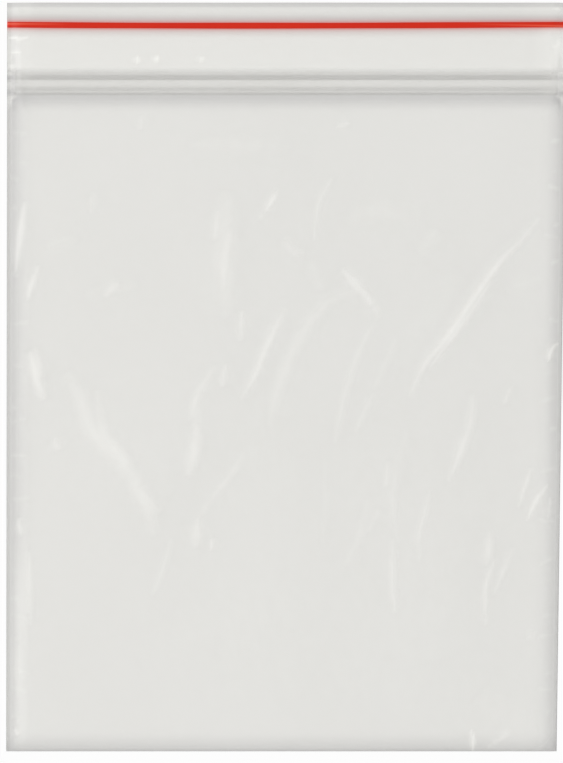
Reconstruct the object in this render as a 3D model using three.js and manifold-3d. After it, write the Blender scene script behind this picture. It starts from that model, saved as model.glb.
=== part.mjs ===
// A press-to-close bag of clear polythene film, empty, pressed shut and lying on its back panel.
// Millimetres. X runs across the bag, +Y points to the mouth and +Z up. The origin is on the
// surface that the bag lies on, under the middle of the box round the bag.
//
// The bag is one web of film, folded across the bottom and welded down both sides. Across the
// mouth it carries two extruded strips that press together, a rib and a channel, and each lip
// carries a bead of red plastic that shows where to part the lips.

import * as THREE from "three";
import { mergeVertices } from "three/addons/utils/BufferGeometryUtils.js";
import Module from "manifold-3d";

const wasm = await Module();
wasm.setup();

// The web of film
const bagWidth = 127; // cut side to cut side, at half length
const lipDepth = 18.5; // mouth to the middle of the zip
const pocketDepth = 152.8; // middle of the zip to the bottom fold
const filmGauge = 0.05;
const weldWidth = 1; // each side seam, where the two panels are one
const leftSkew = 0.23; // the left cut runs outwards by this from mouth to fold
const rightSkew = 2.36; // the right cut runs inwards by this from mouth to fold

// How far the two panels stand apart, inside face to inside face
const lipGap = 0.5;
const pocketRise = 3; // in the middle of the pocket, round the little air left in it
const shoulderRise = 1.6; // where the pocket's rolls end
const foldGap = 0.4; // inside the bottom fold
const edgeRoll = 4.6; // from a weld, the fold or the zip to the pocket's shoulder
const crushLength = 2.6; // from a weld to the zip's full height, where its ends are crushed

// The zip's two strips
const stripWidth = 5.4;
const stripBase = 0.12; // the rib's base, welded to the back panel
const channelBase = 0.2; // the channel's base, welded to the front panel
const channelWidth = 3.1; // over its two jaws
const jawWall = 0.45;
const hookReach = 0.45; // how far each jaw's hook reaches inwards
const hookHeight = 0.28;
const headHeight = 0.5; // the rib's arrowhead, from its barbs to its crown
const barbEdge = 0.1; // upright edge of each barb
const crownWidth = 0.5;
const zipClearance = 0.11; // all round between the rib and the channel

// The coloured beads on the lips
const lineFromMouth = 5.2; // mouth to the middle of the bead
const lineWidth = 1.3;
const lineHeight = 0.2;

const seatGap = 0.02; // between the film and whatever is welded to it

// How finely the curved stretches are divided
const rollSteps = 6;
const flatSteps = 14;
const lipSteps = 5;
const pocketSteps = 18;
const foldSteps = 4;
const beadSteps = 8;

// Heights in the zip, measured up from the back panel's inside face
const ribBaseTop = seatGap + stripBase;
const jawBottom = ribBaseTop + zipClearance;
const hookTop = jawBottom + hookHeight;
const barbBottom = hookTop + zipClearance;
const crownTop = barbBottom + headHeight;
const channelRoof = crownTop + zipClearance;
const channelTop = channelRoof + channelBase;
const zipGap = channelTop + seatGap;

// Places down the bag, measured from the mouth
const bagLength = lipDepth + pocketDepth;
const stripTop = lipDepth - stripWidth / 2;
const stripBottom = lipDepth + stripWidth / 2;
const lipFlat = lineFromMouth + 1.5 * lineWidth; // the lips lie level from the mouth to here
const foldRadius = filmGauge + foldGap / 2;
const foldStart = bagLength - foldRadius;

// The box round the bag is centred on X = 0 although the two cuts lean by different amounts.
const boxShift = (leftSkew - rightSkew) / 4;

const leftCut = (down) => boxShift - bagWidth / 2 - leftSkew * (down / bagLength - 0.5);
const rightCut = (down) => boxShift + bagWidth / 2 - rightSkew * (down / bagLength - 0.5);
const alongY = (down) => bagLength / 2 - down;

// The rise of a panel beside a seam, from 0 at the seam to 1 at the end of its roll.
function bulge(share) {
  const s = Math.min(Math.max(share, 0), 1);
  return s * (2 - s);
}

// A smooth step from 0 to 1 that is level at both ends.
function ease(share) {
  const s = Math.min(Math.max(share, 0), 1);
  return s * s * (3 - 2 * s);
}

// The rise of the pocket between its rolls: a pillow with its crown in the middle. share is the
// distance from the left cut as a share of the bag's width there.
function pillowAt(down, share) {
  const along = Math.min(Math.max((down - stripBottom) / (foldStart - stripBottom), 0), 1);
  const crown = (1 - (2 * share - 1) ** 2) * (1 - (2 * along - 1) ** 4);
  return shoulderRise + (pocketRise - shoulderRise) * crown;
}

// How far the panels stand apart where no side roll squeezes them.
function gapAt(down, share) {
  if (down <= stripTop) {
    return lipGap + (zipGap - lipGap) * ease((down - lipFlat) / (stripTop - lipFlat));
  }
  const rise = pillowAt(down, share);
  const fromZip = zipGap + (rise - zipGap) * bulge((down - stripBottom) / edgeRoll);
  const fromFold = foldGap + (rise - foldGap) * bulge((foldStart - down) / edgeRoll);
  return Math.min(fromZip, fromFold);
}

// How far a side roll reaches from its weld: short where the zip is crushed, longer in the pocket.
function rollAt(down) {
  return crushLength + (edgeRoll - crushLength) * ease((down - stripBottom) / edgeRoll);
}

// Places across the bag at one distance from the mouth, with the gap between the panels at each.
// lift is 0 at a weld and 1 where the side rolls end.
function placesAcross(down) {
  const left = leftCut(down);
  const right = rightCut(down);
  const roll = rollAt(down);
  const leftSide = [{ x: left, lift: 0 }];
  const rightSide = [{ x: right, lift: 0 }];
  for (let i = 0; i <= rollSteps; i++) {
    const inwards = weldWidth + (roll * i) / rollSteps;
    leftSide.push({ x: left + inwards, lift: bulge(i / rollSteps) });
    rightSide.unshift({ x: right - inwards, lift: bulge(i / rollSteps) });
  }
  const from = leftSide.at(-1).x;
  const to = rightSide[0].x;
  const flat = [];
  for (let i = 1; i < flatSteps; i++) {
    flat.push({ x: from + ((to - from) * i) / flatSteps, lift: 1 });
  }
  return [...leftSide, ...flat, ...rightSide].map(({ x, lift }) => {
    return { x, lift, gap: lift * gapAt(down, (x - left) / (right - left)) };
  });
}

// Distances from the mouth at which the film has a row of points.
function rowsDown() {
  const rows = [0, lineFromMouth - lineWidth / 2, lineFromMouth + lineWidth / 2];
  for (let i = 0; i <= lipSteps; i++) {
    rows.push(lipFlat + ((stripTop - lipFlat) * i) / lipSteps);
  }
  for (let i = 0; i <= rollSteps; i++) {
    rows.push(stripBottom + (edgeRoll * i) / rollSteps);
  }
  const level = foldStart - stripBottom - 2 * edgeRoll;
  for (let i = 1; i <= pocketSteps; i++) {
    rows.push(stripBottom + edgeRoll + (level * i) / pocketSteps);
  }
  for (let i = 1; i <= rollSteps; i++) {
    rows.push(foldStart - edgeRoll + (edgeRoll * i) / rollSteps);
  }
  return rows;
}

// A geometry of the triangles whose three corners differ once equal corners are merged.
function closedGeometry(points, triangles) {
  const soup = new THREE.BufferGeometry();
  const positions = new Float32Array(points.flatMap((p) => [p.x, p.y, p.z]));
  soup.setAttribute("position", new THREE.BufferAttribute(positions, 3));
  soup.setIndex(triangles.flat());
  const merged = mergeVertices(soup, 1e-4);
  const corners = [];
  for (let i = 0; i < merged.index.count; i += 3) {
    const [a, b, c] = [0, 1, 2].map((k) => merged.index.getX(i + k));
    if (a !== b && b !== c && c !== a) corners.push(a, b, c);
  }
  merged.setIndex(corners);
  return merged;
}

// The closed solid between an upper and a lower grid of points, rows from the mouth to the fold
// and points from left to right. Edges where the two grids meet need no wall.
function solidBetween(upper, lower) {
  const points = [...upper.flat(), ...lower.flat()];
  const rows = upper.length;
  const columns = upper[0].length;
  const top = (r, c) => r * columns + c;
  const bottom = (r, c) => (rows + r) * columns + c;
  const triangles = [];
  const quad = (a, b, c, d) => triangles.push([a, b, c], [a, c, d]);
  for (let r = 0; r + 1 < rows; r++) {
    for (let c = 0; c + 1 < columns; c++) {
      quad(top(r, c), top(r + 1, c), top(r + 1, c + 1), top(r, c + 1));
      quad(bottom(r, c), bottom(r, c + 1), bottom(r + 1, c + 1), bottom(r + 1, c));
    }
    const last = columns - 1;
    quad(top(r, 0), bottom(r, 0), bottom(r + 1, 0), top(r + 1, 0));
    quad(top(r, last), top(r + 1, last), bottom(r + 1, last), bottom(r, last));
  }
  const end = rows - 1;
  for (let c = 0; c + 1 < columns; c++) {
    quad(top(0, c), top(0, c + 1), bottom(0, c + 1), bottom(0, c));
    quad(top(end, c), bottom(end, c), bottom(end, c + 1), top(end, c + 1));
  }
  return closedGeometry(points, triangles);
}

// The envelope of the two panels, taken in by inset from the film's outside faces. inset 0 gives
// the outside of the bag. filmGauge gives the space inside, which runs on past the mouth.
function envelope(inset) {
  const upper = [];
  const lower = [];
  const inside = inset > 0;
  const overrun = 1;
  const addRow = (down, offset = 0) => {
    const places = placesAcross(down).slice(inside ? 1 : 0, inside ? -1 : undefined);
    const y = alongY(down) + offset;
    const height = 2 * (filmGauge - inset);
    upper.push(places.map((p) => new THREE.Vector3(p.x, y, inset + height + p.gap)));
    lower.push(places.map((p) => new THREE.Vector3(p.x, y, inset)));
  };
  if (inside) addRow(0, overrun);
  rowsDown().forEach((down) => addRow(down));
  // Round the bottom fold each column of points follows its own half circle.
  const startTop = upper.at(-1);
  const startBottom = lower.at(-1);
  for (let i = 1; i <= foldSteps; i++) {
    const turn = ((Math.PI / 2) * i) / foldSteps;
    const fold = (point, c, sign) => {
      const radius = (startTop[c].z - startBottom[c].z) / 2;
      const middle = (startTop[c].z + startBottom[c].z) / 2;
      const down = bagLength - inset - radius * (1 - Math.sin(turn));
      return new THREE.Vector3(point.x, alongY(down), middle + sign * radius * Math.cos(turn));
    };
    upper.push(startTop.map((p, c) => fold(p, c, 1)));
    lower.push(startBottom.map((p, c) => fold(p, c, i === foldSteps ? 1 : -1)));
  }
  return solidBetween(upper, lower);
}

function toManifold(geometry) {
  const vertProperties = geometry.getAttribute("position").array;
  const triVerts = new Uint32Array(geometry.index.array);
  return new wasm.Manifold(new wasm.Mesh({ numProp: 3, vertProperties, triVerts }));
}

function toGeometry(manifold) {
  const mesh = manifold.getMesh();
  const geometry = new THREE.BufferGeometry();
  geometry.setAttribute("position", new THREE.BufferAttribute(mesh.vertProperties, 3));
  geometry.setIndex(new THREE.BufferAttribute(mesh.triVerts, 1));
  geometry.computeVertexNormals();
  return geometry;
}

// The film is the outside of the bag less the space between the panels.
function bagFilm() {
  return toGeometry(toManifold(envelope(0)).subtract(toManifold(envelope(filmGauge))));
}

// A section drawn as [distance from the mouth, height] and drawn out across the bag between two
// of its places. Its heights are squeezed by each place's lift, as the side welds crush it, and
// stand on the floor that floorAt gives.
function drawnAcross(section, first, last, floorAt, squeeze) {
  const outline = section.map(([down, z]) => new THREE.Vector2(down, z));
  const points = [];
  for (let i = first; i <= last; i++) {
    for (const [down, z] of section) {
      const place = placesAcross(down)[i];
      const height = floorAt(place) + z * (squeeze ? place.lift : 1);
      points.push(new THREE.Vector3(place.x, alongY(down), height));
    }
  }
  const n = section.length;
  const rings = last - first;
  const triangles = [];
  for (let r = 0; r < rings; r++) {
    for (let k = 0; k < n; k++) {
      const a = r * n + k;
      const b = r * n + ((k + 1) % n);
      triangles.push([a, b + n, b], [a, a + n, b + n]);
    }
  }
  for (const [a, b, c] of THREE.ShapeUtils.triangulateShape(outline, [])) {
    triangles.push([a, b, c], [rings * n + a, rings * n + c, rings * n + b]);
  }
  return closedGeometry(points, triangles);
}

// Both strips and the inner bead stop at this place from each cut, inside the crushed stretch.
const crushedEnd = 3;
const placeCount = placesAcross(0).length;
const backInside = () => filmGauge;
const frontOutside = (place) => 2 * filmGauge + place.gap;

// Mirrors the half of a section that lies past the middle line of the zip.
function mirrored(half) {
  const other = half.map(([across, z]) => [lipDepth - across, z]).reverse();
  return [...half.map(([across, z]) => [lipDepth + across, z]), ...other];
}

// The rib: a base welded to the back panel, a stem and an arrowhead with two barbs.
function ribStrip() {
  const stemHalf = channelWidth / 2 - jawWall - hookReach - zipClearance;
  const barbHalf = channelWidth / 2 - jawWall - zipClearance;
  const section = mirrored([
    [stripWidth / 2, seatGap],
    [stripWidth / 2, ribBaseTop],
    [stemHalf, ribBaseTop],
    [stemHalf, barbBottom],
    [barbHalf, barbBottom],
    [barbHalf, barbBottom + barbEdge],
    [crownWidth / 2, crownTop],
  ]);
  return drawnAcross(section, crushedEnd, placeCount - 1 - crushedEnd, backInside, true);
}

// The channel: a base welded to the front panel and two jaws with hooks that hold the barbs.
function channelStrip() {
  const outer = channelWidth / 2;
  const inner = outer - jawWall;
  const section = mirrored([
    [inner, channelRoof],
    [inner, hookTop],
    [inner - hookReach, hookTop],
    [inner - hookReach / 2, jawBottom],
    [outer, jawBottom],
    [outer, channelRoof],
    [stripWidth / 2, channelRoof],
    [stripWidth / 2, channelTop],
  ]);
  return drawnAcross(section, crushedEnd, placeCount - 1 - crushedEnd, backInside, true);
}

// The section of a bead: flat against the film and round on top.
function beadSection() {
  const section = [];
  for (let i = 0; i <= beadSteps; i++) {
    const turn = (Math.PI * i) / beadSteps;
    const down = lineFromMouth + (lineWidth / 2) * Math.cos(turn);
    section.push([down, seatGap + lineHeight * Math.sin(turn)]);
  }
  return section;
}

// The front bead is on the outside of the front lip and runs from cut to cut.
function frontLine() {
  return drawnAcross(beadSection(), 0, placeCount - 1, frontOutside, false);
}

// The back bead is on the inside of the back lip and is crushed flat towards the welds.
function backLine() {
  return drawnAcross(beadSection(), crushedEnd, placeCount - 1 - crushedEnd, backInside, true);
}

const filmFinish = new THREE.MeshStandardMaterial({
  color: 0xe4e3df,
  roughness: 0.25,
  metalness: 0,
  transparent: true,
  opacity: 0.5,
});
const stripFinish = new THREE.MeshStandardMaterial({
  color: 0xdcdddb,
  roughness: 0.35,
  metalness: 0,
  transparent: true,
  opacity: 0.6,
});
const lineFinish = new THREE.MeshStandardMaterial({ color: 0xd4301c, roughness: 0.4, metalness: 0 });

function piece(name, geometry, material) {
  const mesh = new THREE.Mesh(geometry, material);
  mesh.name = name;
  return mesh;
}

const zip = new THREE.Group();
zip.add(piece("zip_rib_strip", ribStrip(), stripFinish));
zip.add(piece("zip_channel_strip", channelStrip(), stripFinish));

const lines = new THREE.Group();
lines.add(piece("red_line_front", frontLine(), lineFinish));
lines.add(piece("red_line_back", backLine(), lineFinish));

const bag = new THREE.Group();
bag.name = "zipper_bag";
bag.add(piece("bag_film", bagFilm(), filmFinish), zip, lines);

export default bag;
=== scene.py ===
"""An empty press-to-close bag of clear polythene, pressed shut and lying on a pale table.

The bag is one web of film: a front panel that stands off its back panel by a little air, a fold
across the bottom, a welded seam down each side and two lips at the mouth. The zip's rib and
channel strips and the red beads on the lips are pieces of their own.

Sizes are in millimetres until a mesh is made. A place on the bag is (across, down): across from
its left cut and down from its mouth. The world's X runs across the bag, its Y from the fold up
to the mouth, and the bag lies on the table at Z 0.
"""
import math
import random

import bpy
import numpy as np
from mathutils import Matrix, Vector, noise


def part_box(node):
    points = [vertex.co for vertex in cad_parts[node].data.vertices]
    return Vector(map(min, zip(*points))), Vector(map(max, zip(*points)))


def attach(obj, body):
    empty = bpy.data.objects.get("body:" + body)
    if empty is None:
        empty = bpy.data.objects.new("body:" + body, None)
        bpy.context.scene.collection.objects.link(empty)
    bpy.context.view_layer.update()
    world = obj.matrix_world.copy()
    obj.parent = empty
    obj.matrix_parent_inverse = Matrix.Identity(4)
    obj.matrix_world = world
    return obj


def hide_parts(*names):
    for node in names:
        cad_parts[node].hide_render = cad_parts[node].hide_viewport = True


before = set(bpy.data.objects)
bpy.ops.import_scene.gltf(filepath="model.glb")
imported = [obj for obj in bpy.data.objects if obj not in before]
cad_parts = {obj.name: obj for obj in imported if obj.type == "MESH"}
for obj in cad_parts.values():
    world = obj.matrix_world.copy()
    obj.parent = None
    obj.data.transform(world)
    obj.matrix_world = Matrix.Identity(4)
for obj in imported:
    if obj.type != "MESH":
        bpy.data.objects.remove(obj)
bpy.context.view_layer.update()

MM = 0.001

# The photograph's frame, in pixels, and where the bag lies in it
PHOTO_WIDTH, PHOTO_HEIGHT = 563, 763
PIXELS_PER_MM = 4.37
LEFT_CUT_PIXEL = 6.7
MOUTH_PIXEL = 2.8

# The camera's height above the table, in metres, and its sensor's width
CAMERA_HEIGHT = 1.4
SENSOR_WIDTH = 36.0

# The film, its side welds and its gaps
GAUGE = 0.05
WELD = 1.0
SEAT = 0.02
LIP_GAP = 0.5
FOLD_GAP = 0.4
FOLD_STEPS = 4

# How far in from its seams the pocket takes to come up, and the same for the lips and the zip
EDGE_ROLL = 4.6
CRUSH = 2.6

# The pocket's height beside its seams, the radius of its top corners, and the lip's curled edge
SHOULDER_RISE = 1.6
CORNER = 2.4
HEM = 0.9

# The red beads: their height, how they bow, and their painted red reflection in the film beside them
BEAD_HEIGHT = 0.2
BEAD_STEPS = 220
BEAD_SIDES = 14
BEAD_BOW = 0.25
BEAD_OFFSET = -0.18
RED_REFLECTION = 0.70
RED_REFLECTION_REACH = 0.38

# How far in from each end the painted highlight on a bead runs, and its width in the bead's half
# widths
LEFT_HIGHLIGHT = 14.0
RIGHT_HIGHLIGHT = 22.0
HIGHLIGHT_WIDTH = 0.28

# Towards its ends the zip's painted shade fades, from this far before them to this far, down to this
# share
FADE_START = 4.0
FADE_STOP = 0.5
END_SHARE = 0.5

# How far from its line a crease is felt, in its own widths, how slowly it runs out at its ends,
# and how far to the right of its whiter line, partly a painted highlight, its ridge stands, again in
# its own widths
REACH = 5
RUN_OUT = 0.68
RIDGE_SHIFT = 0.7

# The seed of the puckers along the seams
PUCKER_SEED = 41

# How white a crease is painted on its crest and on its skirt (the whiteness of bent film and a
# painted highlight), how much wider the skirt is, and how unevenly it is painted
CREST_WHITE = 0.95
SKIRT_WHITE = 0.35
SKIRT_WIDTH = 2.6
MOTTLE = 0.25

# Beside a seam or a strip the shade stays at its full depth this far, and then fades with this power
SHADE_FLAT = 0.4
SHADE_FALL = 1.3

# The size of the front panel's cells: on the open panel, and where the film turns more quickly
CELL = 0.52
ROLL_CELL = 0.45
ZIP_CELL = 0.42
FOLD_CELL = 0.32
WELD_CELL = 0.28
HEM_CELL = 0.18

# The back panel lies flat, so each of its faces is as wide as this many of the front panel's. It has
# this share of the front panel's painted shade, and its lip is painted this much lighter
BACK_CELLS = 5
BACK_SHADE = 0.3
BACK_LIP_LIGHTENING = 0.10

# The painted shade of the film in its half turn at the fold
TURN_SHADE = 0.30

# What the film and the beads are coloured with, and their painted shade, highlights and red reflection
CLEAR_FILM = (0.785, 0.775, 0.728, 1)
PAINTED_SHADE_FILM = (0.362, 0.355, 0.368, 1)
WHITE_AND_HIGHLIGHT_FILM = (0.98, 0.975, 0.935, 1)
REFLECTED_RED_FILM = (0.76, 0.02, 0.01, 1)
DARK_RED = (0.64, 0.012, 0.001, 1)
RED = (0.74, 0.024, 0.003, 1)
HIGHLIGHT_RED = (0.90, 0.13, 0.07, 1)
WHITE = (1, 1, 1, 1)

# The table's half width, in metres, and how white the camera and the gloss see it
TABLE_REACH = 3.0
BACKDROP = 0.9


def share_of(value, start, end):
    """How far value has come from start to end, from 0 to 1."""
    return np.clip((value - start) / (end - start), 0.0, 1.0)


def bulge(share):
    """The rise of a panel beside a seam: steep at the seam and level at the end of its roll."""
    return share * (2 - share)


def ease(share):
    """A step from 0 to 1 that is level at both ends."""
    return share * share * (3 - 2 * share)


def step_between(value, start, end):
    return ease(share_of(value, start, end))


def hump(value, middle, half_width):
    return np.exp(-(((value - middle) / half_width) ** 2))


class BagSizes:
    """The bag's own sizes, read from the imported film, strips and beads."""

    def __init__(self):
        points = np.array([v.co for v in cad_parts["bag_film"].data.vertices]) / MM
        low, high = points.min(0), points.max(0)
        self.mouth_y = high[1]
        self.length = high[1] - low[1]
        at_mouth = points[points[:, 1] > high[1] - GAUGE / 5]
        at_fold = points[points[:, 1] < low[1] + GAUGE / 5]
        self.left_mouth, self.right_mouth = at_mouth[:, 0].min(), at_mouth[:, 0].max()
        self.left_fold, self.right_fold = at_fold[:, 0].min(), at_fold[:, 0].max()
        channel_low, channel_high = [Vector(corner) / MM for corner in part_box("zip_channel_strip")]
        self.strip_top = self.mouth_y - channel_high.y
        self.strip_bottom = self.mouth_y - channel_low.y
        self.zip_gap = channel_high.z + SEAT - GAUGE
        line_low, line_high = [Vector(corner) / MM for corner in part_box("red_line_front")]
        self.bead_middle = self.mouth_y - (line_low.y + line_high.y) / 2
        self.bead_width = line_high.y - line_low.y
        self.pocket_rise = high[2] - 2 * GAUGE
        self.fold_start = self.length - GAUGE - FOLD_GAP / 2

    def left(self, down):
        return self.left_mouth + (self.left_fold - self.left_mouth) * down / self.length

    def right(self, down):
        return self.right_mouth + (self.right_fold - self.right_mouth) * down / self.length

    def width(self, down):
        return self.right(down) - self.left(down)


BAG = BagSizes()


def from_cuts(across, down):
    """How far a place is from the nearer side cut."""
    return np.minimum(across, BAG.width(down) - across)


class Crease:
    """A soft ridge in the front panel along a line of (across, down) points, painted whiter along it:
    partly as bent film turns white, partly as a painted highlight of its lit flank. Its width, height
    and whiteness are at its middle and run out towards its ends."""

    def __init__(self, points, width, height, white_and_highlight):
        self.line = rounded_line(points)
        self.width = width
        self.height = height
        self.white_and_highlight = white_and_highlight

    def around(self, across, down, shift=0.0):
        """Which places lie near the ridge, how strong it is there, and how strong beside it."""
        line = self.line + np.array([shift, 0.0])
        reach = REACH * self.width
        low, high = line.min(0) - reach, line.max(0) + reach
        near = (across > low[0]) & (across < high[0]) & (down > low[1]) & (down < high[1])
        away, along = distance_to_line(across[near], down[near], line)
        taper = np.clip(4 * along * (1 - along), 0, 1) ** RUN_OUT
        widths = away / (self.width * (0.40 + 0.60 * taper))
        crest = np.exp(-(widths ** 2))
        skirt = np.exp(-((widths / SKIRT_WIDTH) ** 2))
        return near, taper * crest, taper * skirt


def rounded_line(points, rounds=3):
    """The line with its corners cut over and over, so that it bends as film does."""
    line = np.array(points, float)
    for _ in range(rounds):
        first, second = line[:-1], line[1:]
        cut = np.empty((2 * len(first), 2))
        cut[0::2] = 0.75 * first + 0.25 * second
        cut[1::2] = 0.25 * first + 0.75 * second
        line = np.vstack([line[:1], cut, line[-1:]])
    return line


def distance_to_line(across, down, line):
    """Each place's distance from the line, and how far along it the nearest point is, 0 to 1."""
    lengths = np.linalg.norm(np.diff(line, axis=0), axis=1)
    before = np.concatenate([[0], np.cumsum(lengths)])
    nearest = np.full(across.shape, np.inf)
    along = np.zeros(across.shape)
    for (x0, y0), (x1, y1), start, length in zip(line[:-1], line[1:], before, lengths):
        dx, dy = (x1 - x0) / length, (y1 - y0) / length
        reached = np.clip((across - x0) * dx + (down - y0) * dy, 0, length)
        away = np.hypot(across - x0 - reached * dx, down - y0 - reached * dy)
        closer = away < nearest
        nearest = np.where(closer, away, nearest)
        along = np.where(closer, (start + reached) / before[-1], along)
    return nearest, along


# Slack folds are broad and soft, and creases are sharp. The broad sheen and the crush marks only
# lighten
# the film: the sheen is painted over wide patches, and crush marks whiten it in spots and short lines
# on the lips and beside the zip.
SLACK_FOLDS = [
    # The big fold at the lower left, with a fork at each end
    Crease([(13.6, 84.5), (17.5, 91.3), (18.6, 97.0), (22.7, 101.3), (28.0, 106.6), (30.3, 112.0),
            (33.0, 117.0), (33.7, 122.0)], 1.85, 0.24, 0.25),
    Crease([(20.6, 88.5), (21.2, 94.0), (22.2, 98.0), (25.2, 102.0), (29.0, 106.5)], 1.10, 0.08, 0.17),
    Crease([(30.8, 110.5), (32.4, 113.8), (35.5, 116.5)], 1.10, 0.05, 0.16),
    # The upright band left of the middle
    Crease([(50.0, 43.0), (49.8, 57.0), (50.1, 72.0)], 2.70, 0.24, 0.16),
    Crease([(51.3, 51.5), (49.9, 58.5), (49.5, 66.0)], 0.88, 0.07, 0.10),
    # The long arc in the middle, and the bent fold to its left
    Crease([(81.0, 65.7), (75.2, 67.2), (71.2, 70.5), (67.5, 76.0), (64.5, 82.0), (61.8, 88.5),
            (59.8, 97.0)], 1.40, 0.18, 0.16),
    Crease([(43.2, 89.5), (43.4, 95.0), (43.2, 99.0)], 0.90, 0.06, 0.10),
    Crease([(43.5, 96.5), (43.0, 102.5), (41.5, 108.3)], 1.30, 0.18, 0.27),
    Crease([(43.7, 117.8), (43.4, 124.5)], 0.99, 0.13, 0.26),
    # Faint folds in the upper half
    Crease([(41.5, 32.8), (53.0, 32.4), (65.0, 33.0)], 1.65, 0.08, 0.12),
    Crease([(9.0, 56.0), (16.5, 53.7)], 1.21, 0.07, 0.06),
    Crease([(18.0, 66.5), (30.0, 64.5)], 1.43, 0.07, 0.07),
    Crease([(77.5, 50.5), (84.0, 47.0), (92.0, 48.5)], 1.98, 0.08, 0.07),
    # Faint folds in the lower half, and a few more in the upper
    Crease([(91.6, 97.7), (89.1, 106.8), (86.5, 115.8)], 1.30, 0.06, 0.05),
    Crease([(82.6, 113.3), (81.3, 121.0), (77.4, 128.8)], 0.95, 0.07, 0.06),
    Crease([(89.1, 77.0), (86.8, 82.0), (83.9, 88.7)], 0.80, 0.06, 0.06),
    Crease([(89.3, 106.8), (87.9, 115.8), (89.7, 123.6)], 0.65, 0.05, 0.06),
    Crease([(94.5, 57.5), (98.5, 52.0)], 1.65, 0.08, 0.07),
    Crease([(114.0, 66.0), (122.5, 63.0)], 1.65, 0.07, 0.06),
]
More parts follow.
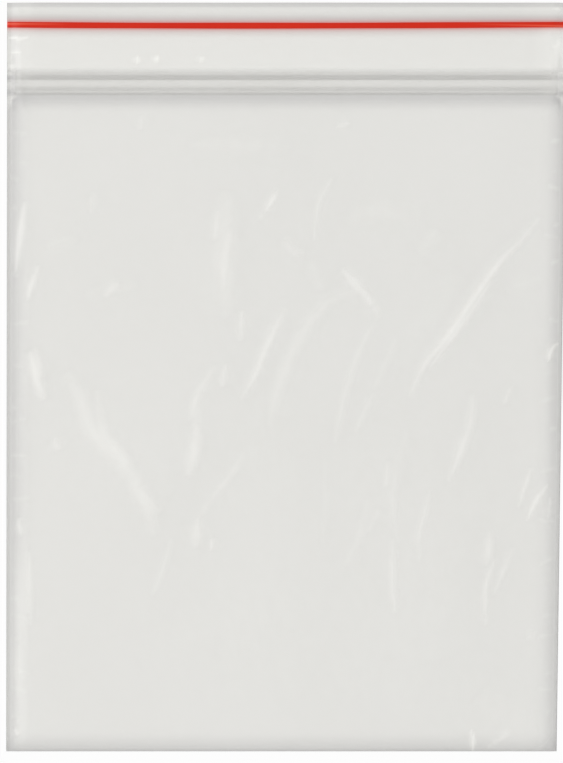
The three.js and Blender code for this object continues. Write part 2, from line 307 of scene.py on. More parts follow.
CREASES = [
    # The long crease at the right, doubled along its middle
    Crease([(121.8, 49.0), (118.5, 53.5), (112.7, 59.3), (108.2, 65.4), (100.8, 76.7), (95.5, 82.4),
            (93.2, 87.5), (92.1, 90.3)], 0.80, 0.22, 0.36),
    Crease([(111.2, 63.2), (106.2, 70.8), (100.8, 78.2), (96.2, 84.2)], 0.60, 0.08, 0.27),
    # Beside the left seam
    Crease([(5.4, 79.5), (6.6, 85.0), (8.5, 91.0)], 1.05, 0.16, 0.40),
    Crease([(6.3, 79.0), (7.4, 82.0), (8.0, 86.0)], 0.80, 0.04, 0.18),
    Crease([(4.2, 45.5), (3.0, 53.0), (2.0, 62.0)], 0.80, 0.12, 0.34),
    Crease([(7.4, 60.2), (5.9, 64.0), (4.9, 68.0)], 0.65, 0.10, 0.24),
    # In the upper half
    Crease([(22.3, 67.3), (24.0, 65.2), (26.0, 64.2)], 0.78, 0.07, 0.14),
    Crease([(48.2, 47.5), (47.5, 54.5)], 0.65, 0.07, 0.16),
    Crease([(61.8, 42.9), (60.5, 45.6), (58.9, 48.2)], 0.52, 0.08, 0.42),
    Crease([(59.1, 47.8), (57.6, 49.8)], 0.52, 0.06, 0.07),
    Crease([(74.5, 40.0), (71.3, 45.2), (70.6, 50.5), (70.3, 54.5)], 0.50, 0.09, 0.15),
    Crease([(63.3, 53.8), (65.3, 56.8), (68.3, 57.8)], 0.78, 0.10, 0.15),
    Crease([(69.0, 59.0), (71.3, 62.5), (72.0, 66.0)], 1.17, 0.08, 0.07),
    # The hook in the middle
    Crease([(76.6, 60.8), (78.8, 63.4), (81.5, 66.0), (83.6, 69.4)], 0.86, 0.14, 0.36),
    Crease([(82.4, 67.2), (84.0, 69.3), (85.1, 72.5)], 0.75, 0.06, 0.14),
    # Slanting creases across the middle
    Crease([(53.7, 70.5), (53.5, 77.5)], 0.65, 0.08, 0.22),
    Crease([(50.2, 82.3), (49.3, 88.0)], 0.65, 0.07, 0.20),
    Crease([(63.8, 69.8), (59.2, 79.0), (56.8, 85.5), (53.6, 90.7)], 0.73, 0.14, 0.34),
    Crease([(47.7, 83.0), (43.3, 90.0), (42.0, 95.5)], 0.75, 0.09, 0.13),
    Crease([(85.0, 72.0), (82.0, 76.5), (78.2, 85.7), (76.4, 93.7), (75.0, 101.0)], 0.78, 0.11, 0.12),
    Crease([(83.9, 89.2), (81.6, 93.7), (79.7, 98.5)], 0.65, 0.07, 0.11),
    Crease([(72.8, 104.0), (73.2, 115.0), (72.2, 124.0)], 0.78, 0.06, 0.04),
    Crease([(106.6, 89.4), (106.2, 96.0), (104.7, 100.3), (101.0, 109.8)], 0.86, 0.14, 0.25),
    Crease([(115.3, 87.6), (113.8, 91.8)], 0.50, 0.04, 0.18),
    # Below the middle, at the left
    Crease([(54.5, 102.4), (52.2, 107.0), (46.5, 113.9), (43.6, 118.5)], 0.75, 0.07, 0.09),
    Crease([(47.0, 122.3), (47.0, 125.3)], 0.55, 0.05, 0.22),
    Crease([(37.8, 122.3), (35.7, 130.3), (33.4, 135.6)], 0.68, 0.07, 0.11),
    Crease([(10.8, 99.5), (12.2, 102.5)], 0.65, 0.05, 0.17),
    # Below the middle, at the right
    Crease([(87.2, 104.8), (86.6, 111.0)], 0.50, 0.04, 0.11),
    Crease([(85.2, 115.5), (82.7, 121.2)], 0.59, 0.06, 0.07),
    Crease([(88.4, 112.8), (88.6, 119.6)], 0.47, 0.07, 0.05),
    Crease([(88.2, 122.5), (88.2, 133.0), (88.9, 139.6)], 0.60, 0.10, 0.21),
    Crease([(96.9, 111.0), (95.7, 116.7), (94.1, 121.2), (94.4, 127.7)], 0.55, 0.10, 0.16),
    Crease([(110.6, 120.8), (109.7, 129.0)], 0.86, 0.11, 0.28),
    Crease([(111.8, 127.0), (109.5, 132.7), (109.4, 138.5), (109.6, 142.5)], 0.55, 0.10, 0.28),
    Crease([(115.9, 124.6), (113.6, 129.9), (111.3, 135.6)], 0.59, 0.10, 0.19),
    # Near the right seam
    Crease([(120.0, 106.4), (118.6, 110.0), (117.0, 115.6)], 0.52, 0.06, 0.26),
    Crease([(123.9, 110.0), (120.9, 113.9), (119.1, 118.4)], 0.55, 0.08, 0.42),
    Crease([(124.3, 113.0), (124.0, 117.8)], 0.50, 0.04, 0.24),
    Crease([(121.0, 144.0), (119.0, 145.2)], 0.52, 0.05, 0.12),
    # Near the left seam, low down
    Crease([(2.7, 117.8), (3.5, 121.9)], 0.60, 0.07, 0.26),
    Crease([(5.3, 125.3), (5.5, 134.0), (5.6, 142.5)], 0.52, 0.08, 0.16),
    Crease([(2.3, 144.8), (2.5, 152.0), (2.8, 159.0)], 0.95, 0.12, 0.12),
    # At the fold
    Crease([(106.3, 166.2), (106.9, 168.6), (106.7, 171.2)], 0.40, 0.06, 0.60),
    Crease([(115.6, 166.4), (112.6, 168.6), (109.8, 170.4)], 0.6, 0.05, 0.20),
    Crease([(1.9, 165.8), (2.8, 167.6)], 0.44, 0.04, 0.22),
    # The bright hook at the right seam, and small nicks near the zip
    Crease([(126.3, 77.8), (125.1, 78.5), (124.3, 80.0), (123.9, 82.2)], 0.45, 0.05, 0.95),
    Crease([(75.4, 28.3), (78.4, 27.6)], 0.44, 0.05, 0.20),
    Crease([(30.6, 25.8), (30.6, 29.2)], 0.50, 0.02, 0.14),
    Crease([(19.7, 43.6), (19.5, 48.2)], 0.50, 0.03, 0.15),
]
BROAD_SHEEN = [
    Crease([(30.0, 150.0), (48.0, 141.0), (68.0, 137.0)], 7.0, 0.0, 0.05),
    Crease([(44.0, 108.0), (56.0, 112.0), (66.0, 104.0)], 7.0, 0.0, 0.05),
    Crease([(64.0, 82.0), (60.0, 96.0), (52.0, 108.0)], 4.0, 0.0, 0.05),
    Crease([(104.0, 62.0), (97.0, 70.0), (90.0, 84.0)], 3.5, 0.0, 0.06),
    Crease([(16.0, 90.0), (26.0, 99.0), (38.0, 112.0)], 4.0, 0.0, 0.06),
    Crease([(80.0, 98.0), (92.0, 122.0), (100.0, 150.0)], 14.0, 0.0, 0.09),
    Crease([(40.0, 157.0), (76.0, 150.0), (116.0, 160.0)], 9.0, 0.0, 0.05),
    Crease([(108.0, 158.0), (115.0, 164.0), (124.0, 169.0)], 5.0, 0.0, 0.14),
    Crease([(78.0, 49.0), (86.0, 47.5), (95.0, 48.5)], 2.6, 0.0, 0.05),
]
CRUSH_MARKS = [
    # At the left ends of the lip and the zip
    Crease([(0.2, 8.1), (1.6, 7.9), (2.8, 8.4), (5.2, 7.8)], 0.28, 0.0, 0.36),
    Crease([(0.6, 11.3), (3.4, 11.3)], 0.30, 0.0, 0.20),
    Crease([(0.2, 14.5), (2.2, 14.6)], 0.24, 0.0, 0.24),
    Crease([(0.6, 15.3), (2.2, 15.6)], 0.24, 0.0, 0.24),
    Crease([(0.2, 21.1), (1.3, 22.2)], 0.28, 0.0, 0.26),
    # Three painted glints on the lip, from small dents
    Crease([(29.8, 12.2), (29.8, 14.0)], 0.36, 0.0, 0.55),
    Crease([(34.2, 12.0), (34.2, 13.8)], 0.36, 0.0, 0.55),
    Crease([(44.5, 12.2), (44.5, 13.7)], 0.36, 0.0, 0.40),
    # At the right end of the lip
    Crease([(124.4, 9.9), (126.6, 10.1)], 0.30, 0.0, 0.16),
    Crease([(125.2, 9.5), (125.3, 14.5)], 0.36, 0.0, 0.08),
    # The long upright mark is partly the whiter film of the crushed lip's end and partly painted light
    Crease([(126.2, 8.0), (126.3, 17.0)], 0.75, 0.0, 0.36),
    Crease([(124.6, 1.4), (126.8, 1.5)], 0.26, 0.0, 0.22),
]


def seam_puckers():
    """Small ridges that run in from the two side seams, where the weld shrank the film."""
    spread = random.Random(PUCKER_SEED)
    puckers = []
    for from_left in (True, False):
        down = BAG.strip_bottom + 2.0
        while down < BAG.length - 6.0:
            reach = spread.uniform(1.6, 5.0)
            slope = spread.uniform(-0.35, 0.5)
            inward = reach if from_left else -reach
            start = 0.8 if from_left else BAG.width(down) - 0.8
            points = [(start, down), (start + inward * 0.5, down + slope * reach * 0.3),
                      (start + inward, down + slope * reach)]
            height = spread.uniform(0.04, 0.12)
            puckers.append(Crease(points, 0.5, height, spread.uniform(0.0, 0.07)))
            down += spread.uniform(3.0, 9.0)
    return puckers


FRONT_CREASES = SLACK_FOLDS + CREASES + seam_puckers()


def uneven(across, down, wide, long, layer):
    """Smooth noise about 0, in patches of this width and length; each layer is its own."""
    places = zip(across.ravel() / wide, down.ravel() / long)
    values = [noise.noise(Vector((x, y, layer))) for x, y in places]
    return np.array(values).reshape(across.shape)


def slack_waves(across, down):
    """The long, low waves of loose film, which run mostly along the bag."""
    return 0.55 * uneven(across, down, 24.0, 46.0, 3.7) + 0.16 * uneven(across, down, 9.0, 21.0, 8.1)


def pocket_share(across, down):
    """1 in the open pocket and 0 on the lips, the zip, the welds and the fold."""
    share = step_between(down, BAG.strip_bottom, BAG.strip_bottom + EDGE_ROLL)
    share = share * step_between(BAG.fold_start - down, 0, EDGE_ROLL)
    return share * step_between(from_cuts(across, down), WELD, WELD + EDGE_ROLL / 2)


def panel_gap(across, down):
    """How far the front panel stands off the back panel."""
    side_roll = CRUSH + (EDGE_ROLL - CRUSH) * step_between(
        down, BAG.strip_bottom, BAG.strip_bottom + EDGE_ROLL)
    side = bulge(share_of(from_cuts(across, down) - WELD, 0, side_roll))
    lip_flat = BAG.bead_middle + 1.5 * BAG.bead_width
    lip = LIP_GAP + (BAG.zip_gap - LIP_GAP) * step_between(down, lip_flat, BAG.strip_top)
    crown = (1 - (2 * across / BAG.width(down) - 1) ** 2) * (
        1 - (2 * share_of(down, BAG.strip_bottom, BAG.fold_start) - 1) ** 4)
    rise = SHOULDER_RISE + (BAG.pocket_rise - SHOULDER_RISE) * crown
    from_zip = bulge(share_of(down, BAG.strip_bottom, BAG.strip_bottom + EDGE_ROLL))
    from_fold = bulge(share_of(BAG.fold_start - down, 0, EDGE_ROLL))
    pocket = np.minimum(BAG.zip_gap + (rise - BAG.zip_gap) * from_zip,
                        FOLD_GAP + (rise - FOLD_GAP) * from_fold)
    return np.where(down < BAG.strip_top, lip, pocket) * side


def lip_wave(across, down):
    """The free edge of the front lip curls and wanders a little."""
    free = 1 - share_of(down, 0, BAG.bead_middle)
    side = step_between(from_cuts(across, down), WELD, 9.0)
    wander = 0.10 * np.sin(across / 11.0 + 0.6) + 0.06 * np.sin(across / 4.7)
    curl = 0.14 * (1 - share_of(down, 0, HEM)) ** 2
    return side * (free * (0.06 + wander) + curl)


def front_height(across, down):
    """The height of the front panel's middle surface."""
    height = 1.5 * GAUGE + panel_gap(across, down) + lip_wave(across, down)
    folds = slack_waves(across, down)
    for crease in FRONT_CREASES:
        near, crest, _ = crease.around(across, down, shift=RIDGE_SHIFT * crease.width)
        folds[near] += crease.height * crest
    return height + folds * pocket_share(across, down)


def whiteness_and_light(across, down):
    """Whiteness from creasing and crushing, with painted highlights, sheen and light, from 0 to 1."""
    total = np.zeros(across.shape)
    for crease in FRONT_CREASES + CRUSH_MARKS + BROAD_SHEEN:
        near, crest, skirt = crease.around(across, down)
        total[near] += crease.white_and_highlight * (CREST_WHITE * crest + SKIRT_WHITE * skirt)
    total = total * (1 + MOTTLE * uneven(across, down, 3.1, 5.3, 5.2))
    total += lighter_lips(across, down)
    total += zip_end_painted_light(across, down)
    return np.clip(total, 0, 1)


def lighter_lips(across, down):
    """The lips are painted lighter than the pocket, most of all at their ends, and less above the bead
    and in the hem. At the ends the lightening is painted light: a highlight near the left end and
    lighter film at the right."""
    width = BAG.width(down)
    lip = 1 - step_between(down, BAG.strip_top - 1.0, BAG.strip_top)
    above_bead = 1 - step_between(down, BAG.bead_middle - 2.0, BAG.bead_middle)
    left_end = hump(across, 4.3, 1.6)
    right_end = step_between(across, width - 13.0, width - 3.0)
    low_right_end = step_between(across, width - 9.0, width - 2.0) * (1 - above_bead)
    white = 0.50 + 0.10 * left_end + 0.10 * right_end * above_bead + 0.22 * low_right_end
    near_bead = hump(from_bead(across, down), 0, 1.5) * above_bead
    return lip * white * (1 - 0.5 * near_bead) * (1 - 0.2 * in_hem(down))


def zip_end_painted_light(across, down):
    """Painted light on the film beside the zip's ends, lifting the shade of its steep turn there, more
    at the right one.
    """
    depth = np.where(across < BAG.width(down) / 2, 0.10, 0.35)
    return depth * in_zip(down) * beside_cut(across, down)


def in_zip(down):
    """1 beside the zip's ends and 0 above and below them."""
    start = step_between(down, BAG.strip_top - 0.4, BAG.strip_top + 0.2)
    return start * (1 - step_between(down, BAG.strip_bottom - 1.2, BAG.strip_bottom - 0.4))


def beside_cut(across, down):
    """1 from a cut to where the zip's crushed end starts, and 0 past that."""
    return 1 - step_between(from_cuts(across, down), 1.5, 2.1)


def in_hem(down):
    """1 in the curled edge of a lip and 0 past it."""
    return 1 - step_between(down, HEM, HEM + 0.25)


def bead_line(across):
    """How far down from the mouth the red beads' middle is: they bow a little, as drawn on."""
    bow = np.sin(math.pi * np.clip(across / BAG.width(0), 0, 1) ** 0.8)
    return BAG.bead_middle + BEAD_OFFSET + BEAD_BOW * bow


def from_bead(across, down):
    """How far a place is from the edge of a bead, with its sign: below it is positive."""
    away = down - bead_line(across)
    return np.sign(away) * np.maximum(np.abs(away) - BAG.bead_width / 2, 0)


def reflected_red(across, down):
    """How much painted red reflection of the beads the film has beside them, from 0 to 1."""
    return RED_REFLECTION * np.exp(-np.abs(from_bead(across, down)) / RED_REFLECTION_REACH)


def rolled_shade(distance, reach, depth):
    """Painted shade where the film rolls down to a strip or to the fold."""
    return depth * (1 - share_of(distance, SHADE_FLAT, reach)) ** SHADE_FALL


def seam_shade(from_cut, reach, weld_depth, roll_depth):
    """The same beside a side seam, whose flat weld is clearer than the roll next to it."""
    in_roll = step_between(from_cut, WELD - 0.3, WELD + 0.3)
    return rolled_shade(from_cut, reach, weld_depth + (roll_depth - weld_depth) * in_roll)


def zip_shade_in_weld(across, down):
    """The zip's painted shade lines run on through the side welds, where its ends are crushed flat."""
    upper = hump(down - BAG.strip_top, 1.4, 0.5)
    lower = hump(down - BAG.strip_top, 4.5, 0.8)
    return (0.50 * upper + 0.25 * lower) * beside_cut(across, down)


def from_pocket_top(across, down):
    """How far a place is inside the pocket's top edge, which is rounded off at both seams."""
    outward = 1 - share_of(from_cuts(across, down), WELD, WELD + CORNER)
    return down - BAG.strip_bottom - CORNER * (1 - np.sqrt(1 - outward ** 2))


def in_pocket(across, down):
    """1 inside the pocket's top edge and 0 outside it."""
    return step_between(from_pocket_top(across, down), -0.2, 0.1)


def seam_shades(across, down):
    """The painted shade beside the left seam and beside the right one. It is narrower on the lips, and
    fainter round the pocket's corners and at the zip's ends."""
    in_lip = 1 - step_between(down, BAG.strip_top, BAG.strip_bottom)
    below_bead = in_lip * step_between(down, BAG.bead_middle, BAG.bead_middle + 2.0)
    near_fold = step_between(down, 118.0, 136.0)
    left = seam_shade(across, reach=5.8 - 2.4 * near_fold - 2.8 * in_lip + 0.6 * below_bead,
                      weld_depth=0.15 - 0.07 * in_lip,
                      roll_depth=0.36 + 0.16 * in_lip + 0.10 * below_bead)
    right = seam_shade(BAG.width(down) - across, reach=4.5 - 3.2 * in_lip,
                       weld_depth=0.22 - 0.18 * in_lip, roll_depth=0.24 - 0.14 * in_lip)
    in_corner = (down > BAG.strip_bottom) * (1 - in_pocket(across, down))
    left = left * (1 - 0.7 * in_corner) * (1 - 0.4 * in_zip(down))
    right = right * (1 - 0.7 * in_corner) * (1 - 0.8 * in_zip(down))
    return left, right


def zip_shades(across, down):
    """Painted shade where the pocket rolls down to the zip, and where the lips come up to it."""
    off_weld = step_between(from_cuts(across, down), WELD - 0.3, WELD + 0.5)
    rolled = rolled_shade(from_pocket_top(across, down), reach=3.6, depth=0.33)
    below = in_pocket(across, down) * off_weld * rolled
    above = 0.10 * np.exp(-np.abs(BAG.strip_top - down) / 0.7) * (down < BAG.strip_top)
    return below, above


def bead_shade(across, down):
    """Painted shade beside the bead, deeper on its mouth side."""
    away = from_bead(across, down)
    return np.where(away < 0, 0.80 * hump(away, 0, 1.5), 0.52 * hump(away, 0, 1.1))


def hem_shade(down):
    """Painted shade along the mouth's curled edge, deepest at the very cut."""
    return 0.40 * in_hem(down) + 0.38 * np.exp(-down / 0.3) + 0.20 * np.exp(-down / 2.6)


def shaded(across, down):
    """Painted shade over the film, from 0 to 1: beside its seams, fold, zip and beads and along its
    mouth.
    """
    parts = [*seam_shades(across, down),
             rolled_shade(BAG.length - down, reach=4.4, depth=0.23),
             *zip_shades(across, down),
             bead_shade(across, down),
             hem_shade(down),
             zip_shade_in_weld(across, down)]
    clear = np.ones(across.shape)
    for part in parts:
        clear = clear * (1 - part)
    return 1 - clear


def cells_along(length, cell_at):
    """Places from 0 to length, spaced by the cell size that cell_at gives at each place."""
    fine = np.linspace(0, length, 4001)
    passed = np.concatenate([[0], np.cumsum(np.diff(fine) / cell_at(fine[:-1]))])
    return np.interp(np.linspace(0, passed[-1], math.ceil(passed[-1]) + 1), passed, fine)


def cell_down(down):
    """Short cells where the film turns quickly: at the hem, the bead, the zip and the fold."""
    cell = np.full(down.shape, CELL)
    cell = np.where(down < BAG.strip_bottom + EDGE_ROLL, ZIP_CELL, cell)
    cell = np.where(down > BAG.length - EDGE_ROLL, FOLD_CELL, cell)
    return np.where(down < 2 * HEM, HEM_CELL, cell)


def cell_across(across):
    """Short cells beside the cuts, where the film rolls down to its welds."""
    from_cut = from_cuts(across, 0)
    return np.where(from_cut < 3.0, WELD_CELL, np.where(from_cut < 8.0, ROLL_CELL, CELL))


def wide_steps(count):
    """Every few of count places, with the first and the last."""
    return sorted(set(range(0, count - BACK_CELLS // 2, BACK_CELLS)) | {count - 1})


class Web:
    """Collects the points, marks and faces of the film's mesh."""

    def __init__(self):
        self.points = []
        # Marks: painted shade, whiteness with painted highlights, and the beads' painted red
        # reflection
        self.marks = {"shade": [], "white": [], "reflected_red": []}
        self.faces = []
        self.count = 0

    def add(self, across, down, height, shade, white):
        self.points.append(np.stack([
            (BAG.left(down) + across).ravel(), (BAG.mouth_y - down).ravel(), height.ravel()], -1))
        self.marks["shade"].append(shade.ravel())
        self.marks["white"].append(white.ravel())
        self.marks["reflected_red"].append(reflected_red(across, down).ravel())
        numbers = np.arange(self.count, self.count + across.size).reshape(across.shape)
        self.count += across.size
        return numbers

    def quads(self, grid, outward):
        corners = grid[1:, :-1], grid[1:, 1:], grid[:-1, 1:], grid[:-1, :-1]
        if not outward:
            corners = corners[::-1]
        self.faces += np.stack(corners, -1).reshape(-1, 4).tolist()

    def as_object(self, name):
        mesh = bpy.data.meshes.new(name)
        faces = [[int(number) for number in face] for face in self.faces]
        mesh.from_pydata((np.vstack(self.points) * MM).tolist(), [], faces)
        for mark_name, values in self.marks.items():
            layer = mesh.attributes.new(mark_name, "FLOAT", "POINT")
            layer.data.foreach_set("value", np.concatenate(values).astype(np.float32))
        mesh.shade_smooth()
        web = bpy.data.objects.new(name, mesh)
        bpy.context.scene.collection.objects.link(web)
        return web


def film_web():
    """The film: a fine front panel, the half turn of the fold and a back panel of wide faces."""
    web = Web()
    shares = cells_along(BAG.width(0), cell_across) / BAG.width(0)
    turn_radius = (FOLD_GAP + GAUGE) / 2
    downs = cells_along(BAG.length - turn_radius - GAUGE / 2, cell_down)
    down = np.repeat(downs[:, None], len(shares), 1)
    across = shares[None, :] * BAG.width(down)
    height = front_height(across, down)
    height[:, [0, -1]] = GAUGE  # both panels end in one edge at the cut
    front = web.add(across, down, height, shaded(across, down), whiteness_and_light(across, down))
    web.quads(front, True)
    turn = add_fold(web, front[-1], across[-1], down[-1], height[-1], turn_radius)
    add_back_panel(web, front, turn, across, down)
    return web.as_object("film_web")


def add_fold(web, last_row, across, down, height, turn_radius):
    """The film's half turn from the front panel's last row to the back panel."""
    rings = [last_row]
    for step in range(1, FOLD_STEPS + 1):
        angle = math.pi * step / FOLD_STEPS
        middle = (height + GAUGE / 2) / 2
        ring = middle + (height - GAUGE / 2) / 2 * math.cos(angle)
        ring_down = down + turn_radius * math.sin(angle)
        rings.append(web.add(across, ring_down, ring, np.full(ring.shape, TURN_SHADE),
                             whiteness_and_light(across, down)))
    web.quads(np.vstack(rings), True)
    web.faces.append([ring[0] for ring in rings[::-1]])
    web.faces.append([ring[-1] for ring in rings])
    return rings[-1]


def add_back_panel(web, front, turn, across, down):
    """Wide flat faces, the outer of which take in every point of the cuts and of the fold."""
    rows = wide_steps(front.shape[0])
    columns = wide_steps(front.shape[1])
    inner = np.ix_(rows[:-1], columns[1:-1])
    flat = np.full(across[inner].shape, GAUGE / 2)
    # The back panel's lip is painted lighter, and it carries a share of the painted shade
    white = BACK_LIP_LIGHTENING * (down[inner] < BAG.strip_top)
    shade = BACK_SHADE * shaded(across[inner], down[inner])
    inside = web.add(across[inner], down[inner], flat, shade, white)
    web.quads(inside, False)
    for k in range(len(rows) - 2):
        left_cut = front[rows[k]:rows[k + 1] + 1, 0].tolist()
        right_cut = front[rows[k]:rows[k + 1] + 1, -1].tolist()
        web.faces.append(left_cut[::-1] + [inside[k, 0], inside[k + 1, 0]])
        web.faces.append(right_cut + [inside[k + 1, -1], inside[k, -1]])
    for k in range(len(columns) - 1):
        face = turn[columns[k]:columns[k + 1] + 1].tolist()[::-1]
        if k == 0:
            face += front[rows[-2]:, 0].tolist()[::-1]
        else:
            face.append(inside[-1, k - 1])
        if k == len(columns) - 2:
            face += front[rows[-2]:, -1].tolist()
        else:
            face.append(inside[-1, k])
        web.faces.append(face)


def node(tree, kind, **values):
    made = tree.nodes.new(kind)
    for name, value in values.items():
        if name in made.inputs:
            made.inputs[name].default_value = value
        else:
            setattr(made, name, value)
    return made


def feed(tree, socket, value):
    """Link the socket to another node's output, or set it to a plain value."""
    if isinstance(value, bpy.types.NodeSocket):
        tree.links.new(value, socket)
    else:
        socket.default_value = value


def math_node(tree, operation, first, second):
    made = node(tree, "ShaderNodeMath", operation=operation)
    feed(tree, made.inputs[0], first)
    feed(tree, made.inputs[1], second)
    return made.outputs[0]


def mix_color(tree, share, first, second):
    made = node(tree, "ShaderNodeMix", data_type="RGBA")
    for slot, value in ((0, share), (6, first), (7, second)):
        feed(tree, made.inputs[slot], value)
    return made.outputs[2]


def mix_value(tree, share, first, second):
    made = node(tree, "ShaderNodeMix", data_type="FLOAT")
    for slot, value in ((0, share), (2, first), (3, second)):
        feed(tree, made.inputs[slot], value)
    return made.outputs[0]


def new_group(name, inputs, outputs):
    group = bpy.data.node_groups.new(name, "ShaderNodeTree")
    for socket, (kind, value) in inputs.items():
        made = group.interface.new_socket(socket, in_out="INPUT", socket_type=kind)
        made.default_value = value
    for socket, kind in outputs.items():
        group.interface.new_socket(socket, in_out="OUTPUT", socket_type=kind)
    return group, group.nodes.new("NodeGroupInput"), group.nodes.new("NodeGroupOutput")


def laid_over(group, color, alpha, layer_color, cover):
    """The color and alpha of a clear sheet once a layer of another color covers part of it."""
    covered = mix_value(group, cover, alpha, 1.0)
    share = math_node(group, "DIVIDE", cover, covered)
    return mix_color(group, share, color, layer_color), covered


def milky_plastic():
    """Clear polythene with a little haze: painted shade where the masks shade it, whiter where it is
    creased, as bent film is and as a painted highlight, and a painted red reflection beside the beads,
    with cloudy patches and a fine grain."""
    group, given, put = new_group(
        "milky plastic",
        {
            "Clear Color": ("NodeSocketColor", CLEAR_FILM),
            "Clear Alpha": ("NodeSocketFloat", 0.38),
            "Painted Shade Color": ("NodeSocketColor", PAINTED_SHADE_FILM),
            "Shade": ("NodeSocketFloat", 0.0),
            "White And Highlight": ("NodeSocketFloat", 0.0),
            "Reflected Red": ("NodeSocketFloat", 0.0),
            "Cloud": ("NodeSocketFloat", 0.04),
            "Gloss Roughness": ("NodeSocketFloat", 0.2),
        },
        {"Color": "NodeSocketColor", "Alpha": "NodeSocketFloat", "Roughness": "NodeSocketFloat",
         "Height": "NodeSocketFloat"},
    )
    place = node(group, "ShaderNodeTexCoord")
    patches = node(group, "ShaderNodeTexNoise", Scale=28.0, Detail=1.0)
    group.links.new(place.outputs["Object"], patches.inputs["Vector"])
    grain = node(group, "ShaderNodeTexNoise", Scale=420.0, Detail=0.0)
    group.links.new(place.outputs["Object"], grain.inputs["Vector"])

    uneven = math_node(group, "SUBTRACT", patches.outputs["Fac"], 0.5)
    alpha = math_node(group, "ADD", given.outputs["Clear Alpha"],
                      math_node(group, "MULTIPLY", uneven, given.outputs["Cloud"]))
    color, alpha = laid_over(group, given.outputs["Clear Color"], alpha,
                             given.outputs["Painted Shade Color"], given.outputs["Shade"])
    color, alpha = laid_over(group, color, alpha, WHITE_AND_HIGHLIGHT_FILM, given.outputs["White And Highlight"])
    color, alpha = laid_over(group, color, alpha, REFLECTED_RED_FILM, given.outputs["Reflected Red"])
    rough = mix_value(group, given.outputs["Shade"], given.outputs["Gloss Roughness"], 0.6)
    group.links.new(color, put.inputs["Color"])
    group.links.new(alpha, put.inputs["Alpha"])
    group.links.new(rough, put.inputs["Roughness"])
    group.links.new(grain.outputs["Fac"], put.inputs["Height"])
    return group


def new_material(name):
    material = bpy.data.materials.new(name)
    material.use_nodes = True
    tree = material.node_tree
    return material, tree, tree.nodes["Principled BSDF"]


def plastic_material(name, group, group_values, masks):
    """A polythene material from the milky plastic group and the masks that this piece carries: painted
    shade, and on the film also whiteness with painted highlights and a painted red reflection.
    """
    material, tree, shader = new_material(name)
    shader.inputs["IOR"].default_value = 1.5
    body = node(tree, "ShaderNodeGroup", node_tree=group)
    for socket, value in group_values.items():
        body.inputs[socket].default_value = value
    for socket, mask in masks.items():
        tree.links.new(mask(tree), body.inputs[socket])
    tree.links.new(body.outputs["Color"], shader.inputs["Base Color"])
    tree.links.new(body.outputs["Alpha"], shader.inputs["Alpha"])
    tree.links.new(body.outputs["Roughness"], shader.inputs["Roughness"])
    bump = node(tree, "ShaderNodeBump", Strength=0.1, Distance=0.00003)
    tree.links.new(body.outputs["Height"], bump.inputs["Height"])
    tree.links.new(bump.outputs["Normal"], shader.inputs["Normal"])
    return material


def mark(name):
    """The mask that a mesh carries as a vertex attribute."""
    def mask(tree):
        return node(tree, "ShaderNodeAttribute", attribute_name=name).outputs["Fac"]
    return mask


def across_the_strip(stops):
    """A mask by the distance down a zip strip, given as (millimetres from its top, value). It
    fades near the strip's ends, where they are crushed flat."""
    def mask(tree):
        place = node(tree, "ShaderNodeTexCoord")
        parts = node(tree, "ShaderNodeSeparateXYZ")
        tree.links.new(place.outputs["Object"], parts.inputs[0])
        down = node(tree, "ShaderNodeMapRange")
        down.inputs["From Min"].default_value = (BAG.mouth_y - BAG.strip_top) * MM
        down.inputs["From Max"].default_value = (BAG.mouth_y - BAG.strip_bottom) * MM
        tree.links.new(parts.outputs["Y"], down.inputs["Value"])
        ramp = node(tree, "ShaderNodeValToRGB")
        elements = ramp.color_ramp.elements
        strip_width = BAG.strip_bottom - BAG.strip_top
        for number, (distance, value) in enumerate(stops):
            position = min(1.0, distance / strip_width)
            if number < 2:
                element = elements[number]
                element.position = position
            else:
                element = elements.new(position)
            element.color = (value, value, value, 1)
        tree.links.new(down.outputs["Result"], ramp.inputs["Fac"])
        from_middle = math_node(tree, "ABSOLUTE", parts.outputs["X"], 0.0)
        half_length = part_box("zip_channel_strip")[1][0]
        fade = node(tree, "ShaderNodeMapRange")
        fade.inputs["From Min"].default_value = half_length - FADE_START * MM
        fade.inputs["From Max"].default_value = half_length - FADE_STOP * MM
        fade.inputs["To Min"].default_value = 1.0
        fade.inputs["To Max"].default_value = END_SHARE
        tree.links.new(from_middle, fade.inputs["Value"])
        return math_node(tree, "MULTIPLY", ramp.outputs["Color"], fade.outputs["Result"])
    return mask


# The painted shade on each face of the zip, where its jaws and flanges bend the light: first its two
# edges, then, from the mouth side down, the flange, the jaw, the clear middle, the jaw, the flange and
# its lower edge
ZIP_PAINTED_SHADE = [
    (0.0, 0.03), (5.4, 0.16), (0.68, 0.05), (0.80, 0.15), (1.35, 0.15), (1.80, 0.09), (1.92, 0.0),
    (3.55, 0.01), (3.85, 0.09), (4.30, 0.10), (4.45, 0.04), (4.72, 0.05), (4.85, 0.16),
]


def painted_bead_highlight(across, side):
    """A thin painted highlight along each end of a bead, where its twisted ends catch the light."""
    width = BAG.width(0)
    at_left = max(0.0, 1 - across / LEFT_HIGHLIGHT)
    at_right = max(0.0, 1 - (width - across) / RIGHT_HIGHLIGHT)
    middle = 0.3 - 0.9 * at_right
    return max(at_left, at_right) * math.exp(-(((side - middle) / HIGHLIGHT_WIDTH) ** 2))


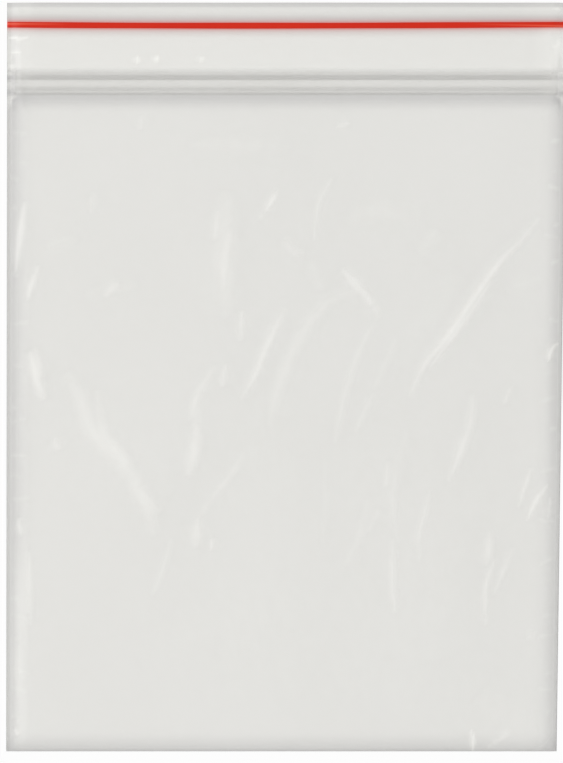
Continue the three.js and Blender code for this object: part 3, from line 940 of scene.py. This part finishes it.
def red_bead(name, node_name, floor_at):
    """A bead of red polythene, drawn across a lip and rounded on top."""
    section = [math.pi * k / BEAD_SIDES for k in range(BEAD_SIDES + 1)]
    ring = len(section)
    low, high = [Vector(corner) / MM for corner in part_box(node_name)]
    xs = np.linspace(low.x, high.x, BEAD_STEPS + 1)
    acrosses = xs - BAG.left(BAG.bead_middle)
    middles = bead_line(acrosses)
    floors = floor_at(acrosses, middles)
    points = []
    bead_highlight = []
    for x, across, middle, floor in zip(xs, acrosses, middles, floors):
        half_width = BAG.bead_width / 2 * (1 + 0.04 * math.sin(across / 7.0))
        for angle in section:
            side = math.cos(angle)
            points.append((x * MM, (BAG.mouth_y - middle + half_width * side) * MM,
                           (floor + BEAD_HEIGHT * math.sin(angle)) * MM))
            bead_highlight.append(painted_bead_highlight(across, side))
    faces = []
    for k in range(BEAD_STEPS):
        a, b = k * ring, (k + 1) * ring
        faces += [(a + j, a + j + 1, b + j + 1, b + j) for j in range(ring - 1)]
        faces.append((a + ring - 1, a, b, b + ring - 1))
    last_ring = BEAD_STEPS * ring
    faces.append(tuple(range(ring))[::-1])
    faces.append(tuple(range(last_ring, last_ring + ring)))
    mesh = bpy.data.meshes.new(name)
    mesh.from_pydata(points, [], faces)
    layer = mesh.attributes.new("bead_highlight", "FLOAT", "POINT")
    layer.data.foreach_set("value", bead_highlight)
    mesh.shade_smooth()
    bead = bpy.data.objects.new(name, mesh)
    bpy.context.scene.collection.objects.link(bead)
    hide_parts(node_name)
    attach(bead, "root")
    return bead


def red_material():
    material, tree, shader = new_material("red polythene")
    shader.inputs["Specular IOR Level"].default_value = 0.3
    place = node(tree, "ShaderNodeTexCoord")
    patches = node(tree, "ShaderNodeTexNoise", Scale=60.0, Detail=2.0)
    tree.links.new(place.outputs["Object"], patches.inputs["Vector"])
    dye = mix_color(tree, patches.outputs["Fac"], DARK_RED, RED)
    # The bead's ends get a painted highlight in a brighter red
    color = mix_color(tree, mark("bead_highlight")(tree), dye, HIGHLIGHT_RED)
    tree.links.new(color, shader.inputs["Base Color"])
    rough = mix_value(tree, patches.outputs["Fac"], 0.34, 0.44)
    tree.links.new(rough, shader.inputs["Roughness"])
    return material


def on_back_lip(across, down):
    return np.full(across.shape, GAUGE + SEAT)


def on_front_lip(across, down):
    return front_height(across, down) + SEAT


def zip_bag():
    plastic = milky_plastic()
    film = film_web()
    # The film's masks: painted shade, whiteness with painted highlights, and painted red reflection
    marks = {"Shade": mark("shade"), "White And Highlight": mark("white"), "Reflected Red": mark("reflected_red")}
    film.data.materials.append(plastic_material("polythene film", plastic, {}, marks))
    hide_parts("bag_film")
    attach(film, "root")

    # The zip strips carry bands of painted shade across them, where their jaws bend the light
    zip_shaded_plastic = plastic_material(
        "zip polythene", plastic, {"Clear Alpha": 0.04, "Gloss Roughness": 0.28},
        {"Shade": across_the_strip(ZIP_PAINTED_SHADE)})
    for name in ("zip_rib_strip", "zip_channel_strip"):
        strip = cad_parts[name]
        strip.data.materials.clear()
        strip.data.materials.append(zip_shaded_plastic)

    red = red_material()
    red_bead("front_bead", "red_line_front", on_front_lip).data.materials.append(red)
    red_bead("back_bead", "red_line_back", on_back_lip).data.materials.append(red)


def table():
    mesh = bpy.data.meshes.new("table")
    corners = [(side_x * TABLE_REACH, side_y * TABLE_REACH, 0)
               for side_x, side_y in ((-1, -1), (1, -1), (1, 1), (-1, 1))]
    mesh.from_pydata(corners, [], [(0, 1, 2, 3)])
    top = bpy.data.objects.new("table", mesh)
    bpy.context.scene.collection.objects.link(top)
    material = bpy.data.materials.new("pale table")
    material.use_nodes = True
    tree = material.node_tree
    tree.nodes.clear()
    output = node(tree, "ShaderNodeOutputMaterial")
    blend = node(tree, "ShaderNodeMixShader")
    matt = node(tree, "ShaderNodeBsdfDiffuse", Color=(0.9, 0.9, 0.9, 1))
    white = node(tree, "ShaderNodeEmission", Color=WHITE, Strength=1.0)
    path = node(tree, "ShaderNodeLightPath")
    seen = math_node(tree, "MAXIMUM", path.outputs["Is Camera Ray"], path.outputs["Is Glossy Ray"])
    seen = math_node(tree, "MAXIMUM", seen, path.outputs["Is Transmission Ray"])
    tree.links.new(math_node(tree, "MULTIPLY", seen, BACKDROP), blend.inputs[0])
    tree.links.new(matt.outputs[0], blend.inputs[1])
    tree.links.new(white.outputs[0], blend.inputs[2])
    tree.links.new(blend.outputs[0], output.inputs[0])
    top.data.materials.append(material)


def softbox(name, place, size, power):
    """A rectangular lamp that looks at the bag."""
    data = bpy.data.lights.new(name, "AREA")
    data.shape = "RECTANGLE"
    data.size, data.size_y = size
    data.energy = power
    box = bpy.data.objects.new(name, data)
    box.location = place
    box.rotation_euler = (-Vector(place)).to_track_quat("-Z", "Y").to_euler()
    bpy.context.scene.collection.objects.link(box)


def studio():
    table()
    softbox("left softbox", (-1.0, 0.1, 1.0), size=(2.0, 1.2), power=14.0)
    softbox("right fill", (1.3, -0.2, 1.1), size=(1.6, 1.4), power=7.0)
    room = bpy.data.worlds.new("room")
    bpy.context.scene.world = room
    room.use_nodes = True
    background = room.node_tree.nodes["Background"]
    background.inputs["Color"].default_value = WHITE
    background.inputs["Strength"].default_value = 0.45


def camera():
    """Straight above the middle of the photograph's frame."""
    data = bpy.data.cameras.new("camera")
    view = bpy.data.objects.new("camera", data)
    bpy.context.scene.collection.objects.link(view)
    bpy.context.scene.camera = view
    left = (BAG.left_mouth + BAG.left_fold) / 2
    x = left + (PHOTO_WIDTH / 2 - LEFT_CUT_PIXEL) / PIXELS_PER_MM
    y = BAG.mouth_y - (PHOTO_HEIGHT / 2 - MOUTH_PIXEL) / PIXELS_PER_MM
    view.location = (x * MM, y * MM, CAMERA_HEIGHT)
    data.sensor_width = SENSOR_WIDTH
    data.lens = SENSOR_WIDTH * CAMERA_HEIGHT / (PHOTO_HEIGHT / PIXELS_PER_MM * MM)


zip_bag()
studio()
camera()
bpy.context.scene.view_settings.view_transform = "Standard"
bpy.context.scene.cycles.transparent_max_bounces = 32
